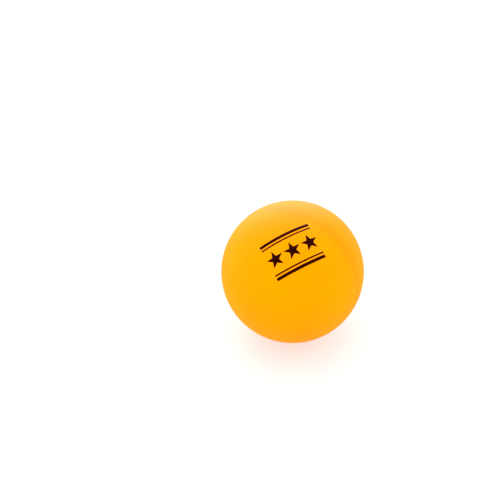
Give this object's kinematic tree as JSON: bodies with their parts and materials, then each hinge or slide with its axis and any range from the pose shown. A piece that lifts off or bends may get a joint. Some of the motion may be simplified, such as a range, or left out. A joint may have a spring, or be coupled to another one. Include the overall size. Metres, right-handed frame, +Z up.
{
  "type": "table tennis ball",
  "caption": "Hollow orange celluloid ball for table tennis, made of hemispherical cups cemented at a lapped seam, with a printed mark of stars and rules.",
  "frame": {"origin": "the ball's centre", "axes": "+Z up; the Y axis is the turning axis of both cups, with the printed cup towards -Y and the plain cup towards +Y; the seam lies in the XZ plane"},
  "size_m": [0.04, 0.04, 0.04],
  "materials": {
    "orange_celluloid": "orange celluloid, satin matt from tumbling, slightly translucent",
    "seam_cement": "amber solvent cement, sanded flush",
    "maroon_ink": "dark maroon pad-printing ink, satin"
  },
  "bodies": {
    "root": {"printed_half": "orange_celluloid", "plain_half": "orange_celluloid", "seam_cement": "seam_cement", "print_star_left": "maroon_ink", "print_star_centre": "maroon_ink", "print_star_right": "maroon_ink", "print_rule_top_thick": "maroon_ink", "print_rule_top_thin": "maroon_ink", "print_rule_bottom_thin": "maroon_ink", "print_rule_bottom_thick": "maroon_ink"}
  },
  "joints": []
}
